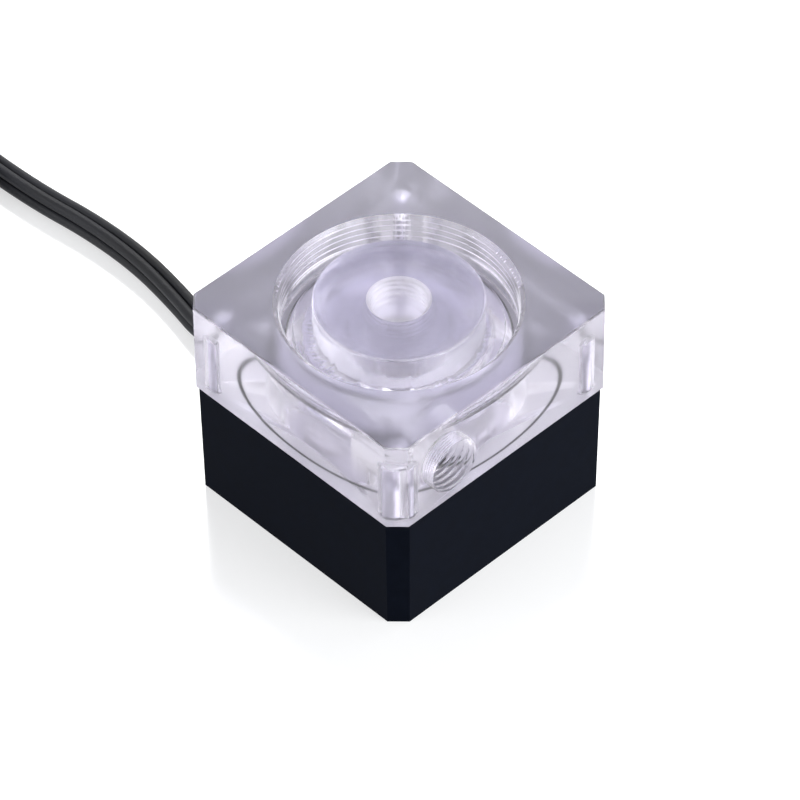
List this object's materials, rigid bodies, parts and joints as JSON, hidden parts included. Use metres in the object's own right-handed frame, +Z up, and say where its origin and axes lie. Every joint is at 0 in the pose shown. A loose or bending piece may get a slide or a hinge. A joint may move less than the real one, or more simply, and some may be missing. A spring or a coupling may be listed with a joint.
{
  "type": "liquid cooling pump",
  "caption": "Compact square water pump with a clear top that holds a threaded reservoir socket, a central inlet and a side outlet, on a black motor housing.",
  "frame": {"origin": "centre of the underside, on the plane that the pump stands on", "axes": "+Z up along the inlet port and the rotor's axis, -Y towards the outlet port's face, +Y towards the cable"},
  "size_m": [0.093, 0.2338, 0.052],
  "materials": {
    "clear_acrylic": "clear polished acrylic",
    "black_housing": "black anodised, satin",
    "black_rubber": "matt black rubber",
    "black_plastic": "moulded black plastic",
    "ceramic": "white ceramic",
    "steel": "stainless steel",
    "graphite": "carbon graphite",
    "ferrite": "sintered ferrite magnet",
    "white_plastic": "moulded white plastic",
    "lamination": "stacked silicon steel",
    "bobbin_plastic": "natural nylon",
    "copper": "enamelled copper wire",
    "board_green": "coated circuit board",
    "chip_black": "moulded chip package",
    "capacitor_case": "aluminium can",
    "pad_grey": "soft silicone pad",
    "cable_black": "black smooth insulation",
    "brass": "tinned brass contact"
  },
  "bodies": {
    "housing": {"clear_top": "clear_acrylic", "base_housing": "black_housing", "main_seal": "black_rubber", "separator_can": "white_plastic", "shaft": "ceramic", "lower_thrust_washer": "ceramic", "upper_thrust_washer": "ceramic", "shaft_clip": "steel", "stator_core": "lamination", "coil_bobbins": "bobbin_plastic", "stator_coils": "copper", "circuit_board": "board_green", "power_transistors": "chip_black", "control_chips": "chip_black", "capacitors": "capacitor_case", "thermal_pad": "pad_grey", "bottom_cover": "black_housing", "cover_screws": "steel", "assembly_screws": "steel", "cable_grommet": "black_rubber", "board_leads": "black_rubber", "power_cable": "cable_black", "plug_lead": "cable_black", "cable_coil": "cable_black", "cable_tie": "black_plastic", "power_plug": "black_plastic", "plug_terminals": "brass"},
    "rotor": {"bearing_bush": "graphite", "rotor_magnet": "ferrite", "magnet_sleeve": "steel", "impeller": "white_plastic", "impeller_shroud": "white_plastic"}
  },
  "joints": [
    {"name": "rotor_spin", "type": "hinge", "parent": "housing", "child": "rotor", "pos_m": [0, 0, 0.02], "axis": [0, 0, 1], "continuous": true}
  ]
}
